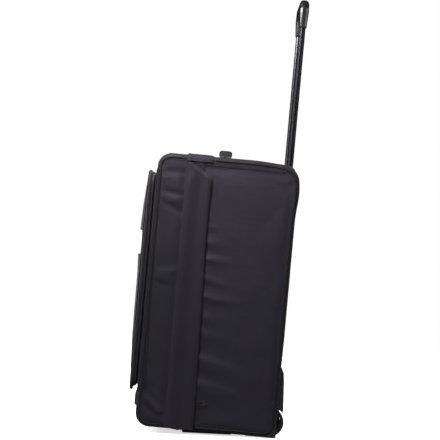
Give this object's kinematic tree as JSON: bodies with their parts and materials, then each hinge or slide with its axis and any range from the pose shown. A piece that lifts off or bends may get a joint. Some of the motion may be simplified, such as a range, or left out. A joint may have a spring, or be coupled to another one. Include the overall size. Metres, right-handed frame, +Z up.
{
  "type": "wheeled equipment case",
  "caption": "Soft-sided upright equipment case with a clamshell lid, zipped front pocket, storm flaps, wedge feet, wheels and a telescoping pull handle.",
  "frame": {"origin": "centre of the bounding box's footprint on the floor, with the case standing on its wheels and wedge feet and the pull handle fully out", "axes": "+Z up from the floor, +X towards the case's right side (the side with the zip flap's free edge), -Y towards the front with the pocket, +Y towards the back with the pull handle; the body leans back 2.4 degrees about X"},
  "size_m": [0.388, 0.3983, 1.0914],
  "materials": {
    "fabric": "matte",
    "webbing": "matte",
    "zip_tape": "matte",
    "board": "matte",
    "hard_plastic": "satin",
    "grip": "satin",
    "button": "satin",
    "tube": "satin",
    "steel": "satin",
    "tyre": "matte",
    "shoe_rubber": "matte",
    "label": "matte"
  },
  "bodies": {
    "bag": {"rear_shell": "fabric", "trolley_cover_panel": "fabric", "hinge_gusset": "fabric", "base_board": "board", "main_zip_tape_rear": "zip_tape", "wheel_housing_left": "hard_plastic", "wheel_housing_right": "hard_plastic", "axle_left": "steel", "axle_right": "steel", "foot_left": "hard_plastic", "foot_right": "hard_plastic", "foot_screw_left_front": "steel", "foot_screw_left_back": "steel", "foot_screw_right_front": "steel", "foot_screw_right_back": "steel", "guard_left": "hard_plastic", "guard_right": "hard_plastic", "guard_screw_left_lower": "steel", "guard_screw_left_upper": "steel", "guard_screw_right_lower": "steel", "guard_screw_right_upper": "steel", "outer_tube_left": "tube", "outer_tube_right": "tube", "tube_bracket": "hard_plastic", "trolley_bezel": "hard_plastic", "top_handle_strap": "webbing", "top_handle_grip": "grip", "top_handle_plate_left": "hard_plastic", "top_handle_plate_right": "hard_plastic"},
    "wheel_left": {"tyre_left": "tyre", "hub_left": "hard_plastic", "bearing_left_inner": "steel", "bearing_left_outer": "steel"},
    "wheel_right": {"tyre_right": "tyre", "hub_right": "hard_plastic", "bearing_right_inner": "steel", "bearing_right_outer": "steel"},
    "handle": {"inner_tube_left": "tube", "inner_tube_right": "tube", "tube_plug_left": "hard_plastic", "tube_plug_right": "hard_plastic", "grip_body": "grip"},
    "button": {"grip_button": "button", "push_rod_left": "steel", "push_rod_right": "steel"},
    "shoe_left": {"lock_shoe_left": "shoe_rubber"},
    "shoe_right": {"lock_shoe_right": "shoe_rubber"},
    "lid": {"lid_shell": "fabric", "main_zip_tape_lid": "zip_tape", "storm_flap_side": "fabric", "storm_flap_top": "fabric", "pocket_zip_tape": "zip_tape", "lower_handle": "webbing"},
    "pocket": {"pocket_gusset": "fabric", "pocket_panel": "fabric", "label_patch": "label"},
    "main_slider": {"main_zip_slider": "steel"},
    "main_puller": {"main_zip_puller": "webbing"},
    "pocket_slider": {"pocket_zip_slider": "steel"},
    "pocket_puller": {"pocket_zip_puller": "webbing"}
  },
  "joints": [
    {"name": "lid_hinge", "type": "hinge", "parent": "bag", "child": "lid", "pos_m": [-0.196, -0.06274, 0.34607], "axis": [0, -0.0419, -0.9991], "range_deg": [0, 170]},
    {"name": "pocket_hinge", "type": "hinge", "parent": "lid", "child": "pocket", "pos_m": [0, -0.19641, 0.10596], "axis": [1, 0, 0], "range_deg": [0, 90]},
    {"name": "handle_slide", "type": "slide", "parent": "bag", "child": "handle", "axis": [0, 0.0419, 0.9991], "range_m": [-0.335, 0]},
    {"name": "button_press", "type": "slide", "parent": "handle", "child": "button", "axis": [0, -0.0419, -0.9991], "range_m": [0, 0.004], "stiffness_N_per_m": 400, "springref_m": -0.006},
    {"name": "shoe_left_slide", "type": "slide", "parent": "handle", "child": "shoe_left", "axis": [1, 0, 0], "range_m": [0, 0.0016]},
    {"name": "shoe_right_slide", "type": "slide", "parent": "handle", "child": "shoe_right", "axis": [-1, 0, 0], "range_m": [0, 0.0016]},
    {"name": "wheel_left_spin", "type": "hinge", "parent": "bag", "child": "wheel_left", "pos_m": [-0.148, 0.14746, 0.036], "axis": [1, 0, 0], "continuous": true},
    {"name": "wheel_right_spin", "type": "hinge", "parent": "bag", "child": "wheel_right", "pos_m": [0.148, 0.14746, 0.036], "axis": [1, 0, 0], "continuous": true},
    {"name": "main_zip_slide", "type": "slide", "parent": "bag", "child": "main_slider", "axis": [0, 0.0419, 0.9991], "range_m": [0, 0.526]},
    {"name": "main_puller_hinge", "type": "hinge", "parent": "main_slider", "child": "main_puller", "pos_m": [0.192, -0.03789, 0.0793], "axis": [0, -0.0419, -0.9991], "range_deg": [0, 110]},
    {"name": "pocket_zip_slide", "type": "slide", "parent": "lid", "child": "pocket_slider", "axis": [-1, 0, 0], "range_m": [0, 0.234]},
    {"name": "pocket_puller_hinge", "type": "hinge", "parent": "pocket_slider", "child": "pocket_puller", "pos_m": [0.117, -0.15873, 0.63485], "axis": [-1, 0, 0], "range_deg": [0, 75]}
  ],
  "couplings": [
    {"joint": "shoe_left_slide", "follows": "button_press", "ratio": 0.375},
    {"joint": "shoe_right_slide", "follows": "button_press", "ratio": 0.375}
  ]
}
